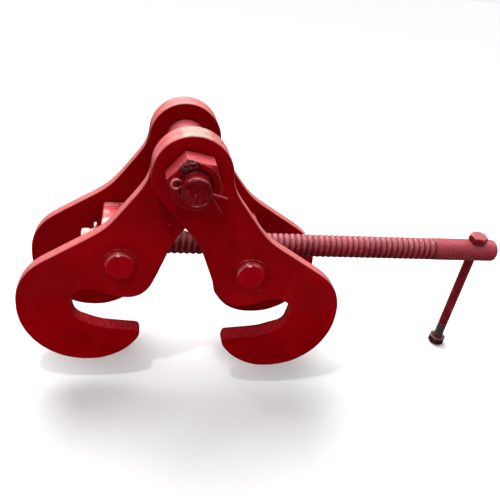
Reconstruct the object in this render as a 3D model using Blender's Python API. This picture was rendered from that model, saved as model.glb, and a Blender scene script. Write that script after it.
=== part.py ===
"""Adjustable beam clamp with a load sleeve between two pairs of C-hook jaw plates.

Frame: metres, +Z up, +X towards the handle end of the spindle, +Y to the rear.
The origin is the centre of the load bolt's front end face, so the pivot axis
of both jaws is the Y axis of the model. Sizes below are in millimetres.
Pieces are placed from the pivot empty, which lies at mid-depth on that axis.
"""
import math

import bmesh
import bpy
from mathutils import Vector

MM = 0.001                # metres per millimetre

# ---- shared sizes --------------------------------------------------------------
GAP = 0.3                 # clearance left between pieces that touch
HOLE_CLEAR = 0.3          # radial clearance of a hole around its shaft
PLATE_T = 12.7            # half-inch plate
PITCH_Y = PLATE_T + GAP   # step from one plate to the next in a pair
HALF_GAP = 33.5           # mid-depth to the middle of the clearance inside a pair
OUTER = HALF_GAP + 2 * PITCH_Y  # mid-depth to the middle of the clearance outside it

BOLT_R = 13.5             # M27 load bolt
BOLT_HOLE_R = BOLT_R + HOLE_CLEAR
BOLT_END_R = 12.0         # turned-down end that takes the split pin
BOLT_END_L = 12.35        # how far the end stands past the nut
NUT_AF = 40.5             # across flats, load bolt head and nut
NUT_T = 22.0
BEARING_Y = OUTER + GAP / 2                   # head and nut faces, +- mid-depth
NUT_FRONT = -BEARING_Y - NUT_T
DEPTH_MID = BEARING_Y + NUT_T + BOLT_END_L    # front bolt end to mid-depth

TRUN_X = 57.5             # trunnion axis from the pivot, sideways
TRUN_Z = 92.5             # and downwards
BLOCK = 37.0              # square section of a trunnion block
JOURNAL_R = 14.75

SPINDLE_R = 11.5          # thread crests and plain handle end
SPINDLE_JR = 10.75        # plain journal through the left block
BAR_R = 5.0               # M10 bolt used as the tommy bar

SHARP_EDGE_DEG = 35.0     # edges sharper than this are shaded sharp


# ---- materials -----------------------------------------------------------------
def enamel(name, colour, roughness):
    mat = bpy.data.materials.new(name)
    mat.use_nodes = True
    bsdf = mat.node_tree.nodes["Principled BSDF"]
    bsdf.inputs["Base Color"].default_value = (*colour, 1.0)
    bsdf.inputs["Roughness"].default_value = roughness
    return mat


# ---- outlines ------------------------------------------------------------------
def rounded(corners, step_deg=8.0, min_steps=2, min_spacing=0.05):
    """Outline points of a polygon whose corners (x, z, radius) carry fillets."""
    outline = []
    for i, (x, z, radius) in enumerate(corners):
        corner = Vector((x, z))
        to_last = (Vector(corners[i - 1][:2]) - corner).normalized()
        to_next = (Vector(corners[(i + 1) % len(corners)][:2]) - corner).normalized()
        angle = math.acos(max(-1.0, min(1.0, to_last.dot(to_next))))
        bisector = (to_last + to_next).normalized()
        centre = corner + bisector * (radius / math.sin(angle / 2))
        tangent_l = radius / math.tan(angle / 2)
        first = corner + to_last * tangent_l - centre
        last = corner + to_next * tangent_l - centre
        start = math.atan2(first.y, first.x)
        sweep = (math.atan2(last.y, last.x) - start + math.pi) % (2 * math.pi) - math.pi
        steps = max(min_steps, round(abs(sweep) / math.radians(step_deg)))
        for j in range(steps + 1):
            turn = start + sweep * j / steps
            point = (centre.x + radius * math.cos(turn), centre.y + radius * math.sin(turn))
            if not outline or math.dist(outline[-1], point) > min_spacing:
                outline.append(point)
    return outline


def circle(centre_x, centre_z, radius, segments=40):
    angles = [2 * math.pi * i / segments for i in range(segments)]
    return [(centre_x + radius * math.cos(angle), centre_z + radius * math.sin(angle))
            for angle in angles]


# ---- meshes --------------------------------------------------------------------
def finish_mesh(name, bm):
    """Turn a millimetre bmesh into a mesh in metres with outward normals."""
    bmesh.ops.recalc_face_normals(bm, faces=bm.faces)
    bmesh.ops.scale(bm, verts=bm.verts, vec=(MM, MM, MM))
    if bm.calc_volume(signed=True) < 0:
        bmesh.ops.reverse_faces(bm, faces=bm.faces)
    mesh = bpy.data.meshes.new(name)
    bm.to_mesh(mesh)
    bm.free()
    mesh.shade_smooth()
    mesh.set_sharp_from_angle(angle=math.radians(SHARP_EDGE_DEG))
    return mesh


def plate_mesh(name, outline, holes, thickness):
    """Flat plate in the XZ plane, its thickness centred on y = 0."""
    bm = bmesh.new()
    loops = [[bm.verts.new((x, -thickness / 2, z)) for x, z in points]
             for points in [outline] + holes]
    sides = [(vert, loop[(i + 1) % len(loop)]) for loop in loops for i, vert in enumerate(loop)]
    edges = [bm.edges.new(side) for side in sides]
    bmesh.ops.triangle_fill(bm, edges=edges, use_beauty=True, normal=(0, -1, 0))
    front = list(bm.faces)
    back = {vert: bm.verts.new((vert.co.x, thickness / 2, vert.co.z))
            for loop in loops for vert in loop}
    for face in front:
        bm.faces.new([back[vert] for vert in reversed(face.verts)])
    for start, end in sides:
        bm.faces.new((start, end, back[end], back[start]))
    return finish_mesh(name, bm)


def skin(bm, rows, closed=False):
    """Join rows of vertices; cap the ends, or join the last row to the first if closed."""
    pairs = list(zip(rows, rows[1:]))
    if closed:
        pairs.append((rows[-1], rows[0]))
    count = len(rows[0])
    for row, following in pairs:
        for i in range(count):
            j = (i + 1) % count
            bm.faces.new((row[i], row[j], following[j], following[i]))
    if not closed:
        bm.faces.new(rows[0])
        bm.faces.new(list(reversed(rows[-1])))


def ring_radius(shape, size, angle, corner_limit=math.inf):
    """Radius at an angle of a ring; size is its radius or half its width across flats."""
    if shape == "round":
        return size
    step = 2 * math.pi / {"hex": 6, "square": 4}[shape]
    from_flat = (angle + step / 2) % step - step / 2
    return min(size / math.cos(from_flat), corner_limit)


def stacked(name, rings, axis, segments=48, closed=False, turn_deg=0.0):
    """One skin through rings (place along axis, shape, size[, corner radius limit])."""
    bm = bmesh.new()
    turn = math.radians(turn_deg)
    rows = []
    for along, *section in rings:
        row = []
        for i in range(segments):
            angle = 2 * math.pi * i / segments
            shape, size, *corner_limit = section
            radius = ring_radius(shape, size, angle, *corner_limit)
            point = [radius * math.cos(angle + turn), radius * math.sin(angle + turn)]
            point.insert("XYZ".index(axis), along)
            row.append(bm.verts.new(point))
        rows.append(row)
    skin(bm, rows, closed)
    return finish_mesh(name, bm)


def eased_end(tip, inward, radius, ease, mid):
    """Three rings from the tip inwards that ease a round end in two steps."""
    return [
        (tip, "round", radius - ease),
        (tip + inward * mid, "round", radius - mid),
        (tip + inward * ease, "round", radius),
    ]


def swept_wire(name, path, radius, segments=10):
    """Round wire along a path whose points all lie in one plane."""
    bends = ((path[i] - path[i - 1]).cross(path[i + 1] - path[i])
             for i in range(1, len(path) - 1))
    normal = next(bend for bend in bends if bend.length > 1e-3).normalized()
    bm = bmesh.new()
    rows = []
    for i, point in enumerate(path):
        tangent = (path[min(i + 1, len(path) - 1)] - path[max(i - 1, 0)]).normalized()
        side = normal.cross(tangent).normalized()
        angles = [2 * math.pi * k / segments for k in range(segments)]
        rows.append([
            bm.verts.new(point + (side * math.cos(angle) + normal * math.sin(angle)) * radius)
            for angle in angles])
    skin(bm, rows)
    return finish_mesh(name, bm)


# ---- objects -------------------------------------------------------------------
def place(name, data, parent=None, location=(0, 0, 0), turn_z=0.0):
    """Link an object to the scene; without data it is an empty."""
    obj = bpy.data.objects.new(name, data)
    bpy.context.scene.collection.objects.link(obj)
    obj.location = [coord * MM for coord in location]
    obj.rotation_euler = (0.0, 0.0, turn_z)
    obj.parent = parent
    return obj


def add_piece(mesh, mat, parent, location=(0, 0, 0), turn_z=0.0):
    """Place a mesh of one material as an object of the same name."""
    name = mesh.name
    mesh.materials.append(mat)
    return place(name, mesh, parent, location, turn_z)


def drill(target, name, radius, direction, segments, centre=(0, 0, 0), length=60):
    """Cut a round hole with a hidden cutter that shares the target's parent."""
    bm = bmesh.new()
    bmesh.ops.create_cone(bm, cap_ends=True, cap_tris=False, segments=segments,
                          radius1=radius, radius2=radius, depth=length)
    rotation = Vector((0, 0, 1)).rotation_difference(Vector(direction)).to_matrix().to_4x4()
    bmesh.ops.transform(bm, matrix=rotation, verts=bm.verts)
    cutter = place(name, finish_mesh(name, bm), target.parent, centre)
    cutter.hide_render = True
    cutter.display_type = "WIRE"
    cut = target.modifiers.new("cut_" + name, "BOOLEAN")
    cut.operation = "DIFFERENCE"
    cut.solver = "EXACT"
    cut.object = cutter


# ---- jaw plates ----------------------------------------------------------------
LOBE_R = 34.0             # rounded top of a jaw plate, about the load bolt

# Side view of a jaw plate: (x outwards from the pivot, z up, corner radius),
# going clockwise from the lobe.
PLATE_CORNERS = [
    (LOBE_R, LOBE_R, LOBE_R), (LOBE_R, -9.0, 27.0), (70.0, -57.0, 60.0),
    (148.0, -105.0, 46.0), (148.0, -197.5, 61.0), (73.0, -197.5, 34.0),
    (51.0, -187.5, 38.0), (39.0, -172.5, 18.0), (37.4, -162.3, 4.6),
    (76.0, -158.3, 50.0), (97.5, -148.0, 14.0), (102.0, -127.0, 8.5),
    (88.0, -116.5, 9.0), (56.0, -128.0, 30.0), (34.0, -127.0, 22.0),
    (10.0, -64.0, 30.0), (-LOBE_R, -14.0, 30.0), (-LOBE_R, LOBE_R, LOBE_R),
]


def add_jaw(side, mat, front_y, rear_y, turn_z):
    """Two copies of one plate; the left jaw's are turned about Z."""
    holes = [circle(0, 0, BOLT_HOLE_R), circle(TRUN_X, -TRUN_Z, JOURNAL_R + HOLE_CLEAR)]
    mesh = plate_mesh(f"jaw_plate_{side}", rounded(PLATE_CORNERS), holes, PLATE_T)
    mesh.materials.append(mat)
    place(f"{side}_jaw_front_plate", mesh, pivot, (0, front_y, 0), turn_z)
    place(f"{side}_jaw_rear_plate", mesh, pivot, (0, rear_y, 0), turn_z)


# ---- split pins ----------------------------------------------------------------
PIN_WIRE_R = 1.15         # radius of one leg
PIN_LEG_OFFSET = PIN_WIRE_R + 0.15   # pin axis to the middle of a leg
PIN_HOLE_R = 2.75
PIN_HOLE_SEGMENTS = 20
PIN_BEND_BEFORE = 0.8     # the splay bend begins this far short of half
PIN_BEND_AFTER = 0.6      # and ends this far past it
PIN_BEND_OUT = (0.1, 0.2)  # sideways step of each leg over the bend
EYE_STEPS = 14


def split_pin_path(half, eye_r, leg_ends):
    """Points (along the pin, across it) from one leg's end round the eye to the other's.

    half is the distance from the middle to where the eye and the splay start."""
    offset = PIN_LEG_OFFSET
    lead = math.asin(offset / eye_r)
    eye_centre = -half - eye_r * math.cos(lead)
    before = half - PIN_BEND_BEFORE
    after = half + PIN_BEND_AFTER
    path = [leg_ends[0], (after, offset + PIN_BEND_OUT[0]), (before, offset)]
    for i in range(EYE_STEPS + 1):
        angle = lead + (2 * math.pi - 2 * lead) * i / EYE_STEPS
        path.append((eye_centre + eye_r * math.cos(angle), eye_r * math.sin(angle)))
    path += [(before, -offset), (after, -offset - PIN_BEND_OUT[1]), leg_ends[1]]
    return path


def add_split_pin(name, parent, location, along, across, **shape):
    wire = [along * u + across * v for u, v in split_pin_path(**shape)]
    add_piece(swept_wire(name, wire, PIN_WIRE_R), PIN_ENAMEL, parent, location)


# ---- load bolt, its nut and split pin, and the load sleeve ---------------------
HEAD_T = 17.0
HEAD_CHAMFER_L = 2.2
HEAD_CHAMFER_R = 0.6      # how far the head's end lies inside its flats
BOLT_END_CHAMFER = 1.4
NECK_FRONT = 0.6          # the neck's cone starts this far in front of the nut
NECK_REAR = 1.2           # and ends this far inside it
BOLT_PIN_INSET = 6.2      # front bolt end to the split pin
BOLT_PIN_TILT = -16.0     # degrees in the XZ plane, right end down

NUT_CORNER_R = NUT_AF / 2 / math.cos(math.pi / 6) - 0.02   # corners barely blunted
NUT_FRONT_INSET = 0.8     # how far the nut's front face lies inside its flats
NUT_FRONT_CHAMFER = 2.4
NUT_REAR_CHAMFER = 1.2
NUT_REAR_CORNER = 1.0     # corners past the flats on the rear face

SLEEVE_R = 19.0
SLEEVE_CHAMFER = 1.0


def add_load_bolt():
    """Turned-down end at the front, shank, hexagon head at the rear."""
    half_af = NUT_AF / 2
    head_end = BEARING_Y + HEAD_T
    bolt = add_piece(stacked("load_bolt", [
        (-DEPTH_MID, "round", BOLT_END_R - BOLT_END_CHAMFER),
        (-DEPTH_MID + BOLT_END_CHAMFER, "round", BOLT_END_R),
        (NUT_FRONT - NECK_FRONT, "round", BOLT_END_R),
        (NUT_FRONT + NECK_REAR, "round", BOLT_R),
        (BEARING_Y, "round", BOLT_R),
        (BEARING_Y, "hex", half_af),
        (head_end - HEAD_CHAMFER_L, "hex", half_af),
        (head_end, "hex", half_af, half_af - HEAD_CHAMFER_R),
    ], "Y", turn_deg=15), BOLT_ENAMEL, pivot)
    tilt = math.radians(BOLT_PIN_TILT)
    pin_place = (0, -DEPTH_MID + BOLT_PIN_INSET, 0)
    along = Vector((math.cos(tilt), 0, math.sin(tilt)))
    across = Vector((-math.sin(tilt), 0, math.cos(tilt)))
    drill(bolt, "bolt_pin_hole", PIN_HOLE_R, along, PIN_HOLE_SEGMENTS, pin_place)
    # eye to the left, legs splayed to the right
    add_split_pin("load_bolt_split_pin", pivot, pin_place, along, across,
                  half=BOLT_END_R + 0.4, eye_r=3.7, leg_ends=[(26.0, 1.9), (27.2, -12.4)])


def add_load_bolt_nut():
    """Hexagon nut, chamfered both sides."""
    half_af = NUT_AF / 2
    add_piece(stacked("load_bolt_nut", [
        (NUT_FRONT, "round", BOLT_HOLE_R),
        (NUT_FRONT, "round", half_af - NUT_FRONT_INSET),
        (NUT_FRONT + NUT_FRONT_CHAMFER, "hex", half_af, NUT_CORNER_R),
        (-BEARING_Y - NUT_REAR_CHAMFER, "hex", half_af, NUT_CORNER_R),
        (-BEARING_Y, "hex", half_af, half_af + NUT_REAR_CORNER),
        (-BEARING_Y, "round", BOLT_HOLE_R),
    ], "Y", closed=True, turn_deg=19.6), NUT_ENAMEL, pivot)


def add_load_sleeve():
    """Tube on the load bolt between the two inner plates."""
    half = HALF_GAP - GAP / 2
    add_piece(stacked("load_sleeve", [
        (-half, "round", BOLT_HOLE_R),
        (-half, "round", SLEEVE_R - SLEEVE_CHAMFER),
        (-half + SLEEVE_CHAMFER, "round", SLEEVE_R),
        (half - SLEEVE_CHAMFER, "round", SLEEVE_R),
        (half, "round", SLEEVE_R - SLEEVE_CHAMFER),
        (half, "round", BOLT_HOLE_R),
    ], "Y", segments=40, closed=True), SLEEVE_ENAMEL, pivot)


# ---- trunnion blocks -----------------------------------------------------------
JOURNAL_PROUD = 3.7       # journal end beyond its plate's outer clearance
JOURNAL_EASE = {"ease": 2.2, "mid": 0.7}
BLOCK_CORNER_R = BLOCK / 2 * 1.36   # corner radius limit, trims the square's edges


def add_trunnion(side, name, sign, shaft_r, turn_z):
    """Square body with a round journal at each end, bored for the spindle."""
    body_front = -(HALF_GAP + PITCH_Y) + GAP / 2
    body_rear = HALF_GAP - GAP / 2
    front_end = -OUTER - JOURNAL_PROUD
    rear_end = HALF_GAP + PITCH_Y + JOURNAL_PROUD
    mesh = stacked(name, [
        *eased_end(front_end, 1, JOURNAL_R, **JOURNAL_EASE),
        (body_front, "round", JOURNAL_R),
        (body_front, "square", BLOCK / 2, BLOCK_CORNER_R),
        (body_rear, "square", BLOCK / 2, BLOCK_CORNER_R),
        (body_rear, "round", JOURNAL_R),
        *reversed(eased_end(rear_end, -1, JOURNAL_R, **JOURNAL_EASE)),
    ], "Y", segments=40)
    axis = place(f"{side}_trunnion_axis", None, pivot, (sign * TRUN_X, 0, -TRUN_Z))
    block = add_piece(mesh, TRUNNION_ENAMEL, axis, turn_z=turn_z)
    drill(block, f"{side}_bore", shaft_r + HOLE_CLEAR, (1, 0, 0), 40, length=80)


# ---- spindle -------------------------------------------------------------------
SPINDLE_X0 = -94.0        # left end
SPINDLE_X1 = 334.0        # handle end
THREAD_END = 261.0        # end of the threaded length, modelled plain
SPINDLE_CHAMFER = 1.2     # left end
SPINDLE_PIN_X = -81.0
BAR_X = 311.4             # tommy bar's place along the spindle
BAR_TILT = math.radians(6.25)   # from straight down, bottom leaning rearwards
BAR_DOWN = Vector((0, math.sin(BAR_TILT), -math.cos(BAR_TILT)))


def add_spindle():
    """Journal through the left block, threaded length, plain handle end."""
    shoulder = -TRUN_X + BLOCK / 2 + GAP
    spindle = add_piece(stacked("spindle", [
        (SPINDLE_X0, "round", SPINDLE_JR - SPINDLE_CHAMFER),
        (SPINDLE_X0 + SPINDLE_CHAMFER, "round", SPINDLE_JR),
        (shoulder, "round", SPINDLE_JR),
        (shoulder, "round", SPINDLE_R),
        (THREAD_END, "round", SPINDLE_R),
        *reversed(eased_end(SPINDLE_X1, -1, SPINDLE_R, ease=3.0, mid=0.9)),
    ], "X", segments=40), SPINDLE_ENAMEL, spindle_axis)
    pin_place = (SPINDLE_PIN_X, 0, 0)
    drill(spindle, "bar_hole", BAR_R + HOLE_CLEAR, BAR_DOWN, 28, (BAR_X, 0, 0))
    drill(spindle, "spindle_pin_hole", PIN_HOLE_R, (0, 0, 1), PIN_HOLE_SEGMENTS, pin_place)
    # keeps the spindle in the left block, eye upwards
    add_split_pin("spindle_split_pin", spindle_axis, pin_place,
                  Vector((0, 0, -1)), Vector((0, 1, 0)),
                  half=SPINDLE_JR + 0.2, eye_r=2.7, leg_ends=[(18.5, 4.6), (18.0, -5.4)])


# ---- tommy bar and its nut -----------------------------------------------------
BAR_AF = 17.0             # across flats, head and nut
BAR_L = 132.6             # spindle axis to the bar's end
BAR_CHAMFER = 0.9
BAR_HEAD_T = 6.8
BAR_HEAD_UNDERCUT = (0.5, 0.4)   # length and inset of the round face under the head
BAR_HEAD_CHAMFER = (1.2, 0.2)    # length and inset at the head's end
BAR_NUT_S = 123.8         # spindle axis to the nut's near face
BAR_NUT_T = 8.0
BAR_NUT_CHAMFER = 1.1


def add_tommy_bar(axis):
    """Hexagon bolt sliding in the spindle's cross hole, head uppermost."""
    half_af = BAR_AF / 2
    head = SPINDLE_R + GAP
    under_l, under_inset = BAR_HEAD_UNDERCUT
    end_l, end_inset = BAR_HEAD_CHAMFER
    add_piece(stacked("tommy_bar", [
        (-BAR_L, "round", BAR_R - BAR_CHAMFER),
        (-BAR_L + BAR_CHAMFER, "round", BAR_R),
        (head, "round", BAR_R),
        (head, "round", half_af - under_inset),
        (head + under_l, "hex", half_af),
        (head + BAR_HEAD_T - end_l, "hex", half_af),
        (head + BAR_HEAD_T, "hex", half_af, half_af - end_inset),
    ], "Z", segments=36, turn_deg=8), BAR_ENAMEL, axis)


def add_tommy_bar_nut(axis):
    half_af = BAR_AF / 2
    near = -BAR_NUT_S
    far = near - BAR_NUT_T
    add_piece(stacked("tommy_bar_nut", [
        (near, "round", BAR_R + HOLE_CLEAR),
        (near, "hex", half_af, half_af),
        (near - BAR_NUT_CHAMFER, "hex", half_af),
        (far + BAR_NUT_CHAMFER, "hex", half_af),
        (far, "hex", half_af, half_af),
        (far, "round", BAR_R + HOLE_CLEAR),
    ], "Z", segments=36, closed=True, turn_deg=20), BAR_NUT_ENAMEL, axis)


# ---- scene ---------------------------------------------------------------------
for old in list(bpy.data.objects):
    bpy.data.objects.remove(old, do_unlink=True)

RED = (0.23, 0.003, 0.006)
PINK = (0.42, 0.06, 0.07)
LEFT_ENAMEL = enamel("jaw_enamel_left", colour=RED, roughness=0.32)
RIGHT_ENAMEL = enamel("jaw_enamel_right", colour=RED, roughness=0.32)
TRUNNION_ENAMEL = enamel("trunnion_enamel", colour=RED, roughness=0.36)
BOLT_ENAMEL = enamel("bolt_enamel", colour=(0.26, 0.005, 0.009), roughness=0.38)
NUT_ENAMEL = enamel("nut_enamel", colour=(0.30, 0.008, 0.012), roughness=0.3)
SLEEVE_ENAMEL = enamel("sleeve_enamel", colour=PINK, roughness=0.4)
SPINDLE_ENAMEL = enamel("spindle_enamel", colour=PINK, roughness=0.42)
BAR_ENAMEL = enamel("bar_enamel", colour=PINK, roughness=0.42)
BAR_NUT_ENAMEL = enamel("bar_nut_enamel", colour=(0.30, 0.03, 0.04), roughness=0.45)
PIN_ENAMEL = enamel("pin_enamel", colour=(0.45, 0.09, 0.10), roughness=0.4)

pivot = place("pivot_axis", None, location=(0, DEPTH_MID, 0))

# the right jaw has the outer front plate and the inner rear one, the left the reverse
inner_plate = HALF_GAP + 0.5 * PITCH_Y
outer_plate = HALF_GAP + 1.5 * PITCH_Y
add_jaw("right", RIGHT_ENAMEL, -outer_plate, inner_plate, turn_z=0.0)
add_jaw("left", LEFT_ENAMEL, -inner_plate, outer_plate, turn_z=math.pi)

add_load_bolt()
add_load_bolt_nut()
add_load_sleeve()

add_trunnion("right", "right_trunnion_nut", 1, SPINDLE_R, turn_z=0.0)
add_trunnion("left", "left_trunnion_block", -1, SPINDLE_JR, turn_z=math.pi)

spindle_axis = place("spindle_axis", None, pivot, (0, 0, -TRUN_Z))
add_spindle()

bar_axis = place("bar_axis", None, spindle_axis, (BAR_X, 0, 0))
bar_axis.rotation_euler = Vector((0, 0, -1)).rotation_difference(BAR_DOWN).to_euler()
add_tommy_bar(bar_axis)
add_tommy_bar_nut(bar_axis)
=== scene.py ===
"""Looks of a beam clamp: two hooked jaws hung on a load bolt and drawn together by a spindle.

The load bolt lies along y through x = z = 0, with its nut and split pin at the front (-y).
The spindle lies along x below it, through a trunnion in each jaw; the right jaw is at +x.
The tommy bar hangs down from the spindle's right end. Shapes are in millimetres and shader
coordinates in metres.
"""
import math
from functools import cached_property

import bmesh
import bpy
import numpy as np
from mathutils import Matrix, Vector, noise


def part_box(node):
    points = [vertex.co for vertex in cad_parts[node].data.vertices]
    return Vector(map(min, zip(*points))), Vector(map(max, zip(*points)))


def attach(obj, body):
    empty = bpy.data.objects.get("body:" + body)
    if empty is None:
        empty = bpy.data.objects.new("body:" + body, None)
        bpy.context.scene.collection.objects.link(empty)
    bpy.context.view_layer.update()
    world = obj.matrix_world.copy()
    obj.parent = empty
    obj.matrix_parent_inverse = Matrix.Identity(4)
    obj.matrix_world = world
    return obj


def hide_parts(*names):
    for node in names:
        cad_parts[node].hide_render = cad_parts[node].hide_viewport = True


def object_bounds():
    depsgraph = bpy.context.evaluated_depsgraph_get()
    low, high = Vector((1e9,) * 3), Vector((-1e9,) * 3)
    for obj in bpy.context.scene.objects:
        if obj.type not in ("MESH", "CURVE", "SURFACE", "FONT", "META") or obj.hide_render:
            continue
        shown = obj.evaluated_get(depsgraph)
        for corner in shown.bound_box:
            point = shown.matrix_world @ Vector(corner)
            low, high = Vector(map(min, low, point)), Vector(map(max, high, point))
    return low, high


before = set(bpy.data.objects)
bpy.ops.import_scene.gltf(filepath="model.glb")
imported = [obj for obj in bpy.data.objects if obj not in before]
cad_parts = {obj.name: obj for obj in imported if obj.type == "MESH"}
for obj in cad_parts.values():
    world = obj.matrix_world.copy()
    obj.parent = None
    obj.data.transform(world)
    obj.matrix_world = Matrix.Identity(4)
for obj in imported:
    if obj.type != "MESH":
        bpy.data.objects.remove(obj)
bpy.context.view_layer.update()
MM = 0.001
X, Y, Z = range(3)


def span(node, axis):
    """Both ends of a frame node along an axis, in millimetres."""
    low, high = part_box(node)
    return low[axis] / MM, high[axis] / MM


def middle(node, axis):
    return sum(span(node, axis)) / 2


def width(node, axis):
    low, high = span(node, axis)
    return high - low


# ---- main sizes (millimetres) ----------------------------------------------------
MID_Y = middle("load_sleeve", Y)
SLEEVE_R = width("load_sleeve", Z) / 2
SPINDLE_Z = middle("spindle", Z)
SPINDLE_R = width("spindle", Z) / 2
SPINDLE_LEFT, SPINDLE_RIGHT = span("spindle", X)
STUB_R = 10.75                 # plain left end of the spindle
TRUNNION_X = middle("right_trunnion_nut", X)
BLOCK = width("right_trunnion_nut", X)
BLOCK_TOP = SPINDLE_Z + BLOCK / 2
JOURNAL_R = 14.75
BOLT_R, BOLT_END_R = 13.5, 12.0
NUT_FLATS = 40.5               # across the flats of the load bolt's head and nut
GAP = 0.3                      # between a plate and the part beside it


# ---- mesh helpers ----------------------------------------------------------------
def link_object(name, data):
    obj = bpy.data.objects.new(name, data)
    bpy.context.scene.collection.objects.link(obj)
    return obj


def to_mesh(name, bm):
    """Turns a bmesh in millimetres into a mesh in metres."""
    bmesh.ops.scale(bm, verts=bm.verts, vec=(MM, MM, MM))
    mesh = bpy.data.meshes.new(name)
    bm.to_mesh(mesh)
    bm.free()
    return mesh


def rod(name, radius, length, centre, direction, segments):
    """Round cutter."""
    bm = bmesh.new()
    bmesh.ops.create_cone(bm, cap_ends=True, cap_tris=False, segments=segments,
                          radius1=radius, radius2=radius, depth=length)
    turn = Vector((0, 0, 1)).rotation_difference(Vector(direction)).to_matrix().to_4x4()
    bmesh.ops.transform(bm, matrix=Matrix.Translation(Vector(centre)) @ turn, verts=bm.verts)
    return link_object(name, to_mesh(name, bm))


def cut_hole(obj, cutter):
    """Applies a hole cut by another object, which is then removed."""
    others = list(obj.modifiers)
    for modifier in others:
        modifier.show_viewport = False
    hole = obj.modifiers.new("hole", "BOOLEAN")
    hole.operation = "DIFFERENCE"
    hole.solver = "EXACT"
    hole.object = cutter
    graph = bpy.context.evaluated_depsgraph_get()
    mesh = bpy.data.meshes.new_from_object(obj.evaluated_get(graph))
    obj.modifiers.remove(hole)
    for modifier in others:
        modifier.show_viewport = True
    old = obj.data
    obj.data = mesh
    bpy.data.meshes.remove(old)
    bpy.data.objects.remove(cutter, do_unlink=True)


def add_piece(node, bm, body, sharp, weighted=True, holes=()):
    """Object that stands in for a frame node; holes lists the arguments of its rod cutters."""
    bmesh.ops.recalc_face_normals(bm, faces=bm.faces)
    if bm.calc_volume(signed=True) < 0:
        bmesh.ops.reverse_faces(bm, faces=bm.faces)
    mesh = to_mesh(f"{node}_body", bm)
    mesh.shade_smooth()
    mesh.set_sharp_from_angle(angle=math.radians(sharp))
    obj = link_object(f"{node}_body", mesh)
    if weighted:
        modifier = obj.modifiers.new("even_normals", "WEIGHTED_NORMAL")
        modifier.keep_sharp = True
        modifier.weight = 60
    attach(obj, body)
    for hole in holes:
        cut_hole(obj, rod(*hole))
    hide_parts(node)
    return obj


def put(obj, material):
    obj.data.materials.clear()
    obj.data.materials.append(material)


def skin(bm, point_rings, ends):
    """Faces through rings of points; ends is "open", "cap", or "join" (last ring to first)."""
    rows = [[bm.verts.new(point) for point in ring] for ring in point_rings]
    pairs = list(zip(rows, rows[1:]))
    if ends == "join":
        pairs.append((rows[-1], rows[0]))
    for first, second in pairs:
        for i in range(len(first)):
            j = (i + 1) % len(first)
            bm.faces.new((first[i], first[j], second[j], second[i]))
    if ends == "cap":
        bm.faces.new(rows[0])
        bm.faces.new(list(reversed(rows[-1])))
    return rows


def turned(stations, axis, segments, ends="cap", turn=0.0, centre=(0, 0)):
    """Skin round an axis through (place along it, radius or radius function of the angle)."""
    rings = []
    for place, radius in stations:
        ring = []
        for i in range(segments):
            angle = 2 * math.pi * i / segments
            reach = radius(angle) if callable(radius) else radius
            point = [centre[0] + reach * math.cos(angle + turn),
                     centre[1] + reach * math.sin(angle + turn)]
            point.insert(axis, place)
            ring.append(point)
        rings.append(ring)
    bm = bmesh.new()
    skin(bm, rings, ends)
    return bm


def quarter_round(radius, steps):
    """Edge rounding as (distance in from the end, inset from the side), from the end on."""
    angles = [math.pi / 2 * k / steps for k in range(steps + 1)]
    return [(radius * (1 - math.cos(t)), radius * (1 - math.sin(t))) for t in angles]


def polygon_radius(sides, apothem, limit=math.inf):
    """Radius function of a regular polygon, cut off at a limit radius."""
    step = 2 * math.pi / sides

    def radius(angle):
        from_flat = (angle + step / 2) % step - step / 2
        return min(apothem / math.cos(from_flat), limit)
    return radius


def hexagon(start, end, flats, end_radius, depth, steps=6):
    """Stations of a hexagon whose end is coned down to end_radius over a depth."""
    sign = 1 if end > start else -1
    stations = [(start, polygon_radius(6, flats / 2))]
    corner_radius = flats / 2 / math.cos(math.pi / 6)
    for k in range(steps + 1):
        share = k / steps
        limit = corner_radius + (end_radius - corner_radius) * share
        stations.append((end - sign * depth * (1 - share),
                         polygon_radius(6, flats / 2, limit)))
    return stations


# ---- shader helpers --------------------------------------------------------------
class Value:
    """Output of a shader node; arithmetic on it adds math nodes."""

    def __init__(self, tree, socket):
        self.tree = tree
        self.socket = socket

    def math(self, operation, other=0.0, clamp=False):
        return self.tree.math(operation, self, other, clamp)

    def __add__(self, other):
        return self.math("ADD", other)

    def __sub__(self, other):
        return self.math("SUBTRACT", other)

    def __rsub__(self, other):
        return self.tree.math("SUBTRACT", other, self)

    def __mul__(self, other):
        return self.math("MULTIPLY", other)

    def __truediv__(self, other):
        return self.math("DIVIDE", other)

    def __abs__(self):
        return self.math("ABSOLUTE")

    def ramp(self, start, end, to=(0.0, 1.0), kind="LINEAR"):
        """Goes from to[0] where this value is start to to[1] where it is end."""
        inputs = {0: self, 1: start, 2: end, 3: to[0], 4: to[1]}
        return self.tree.add("MapRange", "Result", inputs, interpolation_type=kind)

    def ease(self, start, end, to=(0.0, 1.0)):
        """A ramp with soft ends."""
        return self.ramp(start, end, to, "SMOOTHSTEP")

    def mix(self, below, above):
        """Colour that goes from below to above as this value goes from 0 to 1."""
        return self.tree.add("Mix", 2, {0: self, 6: below, 7: above}, data_type="RGBA")


def hypotenuse(across, along):
    return (across * across + along * along).math("SQRT")


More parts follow.
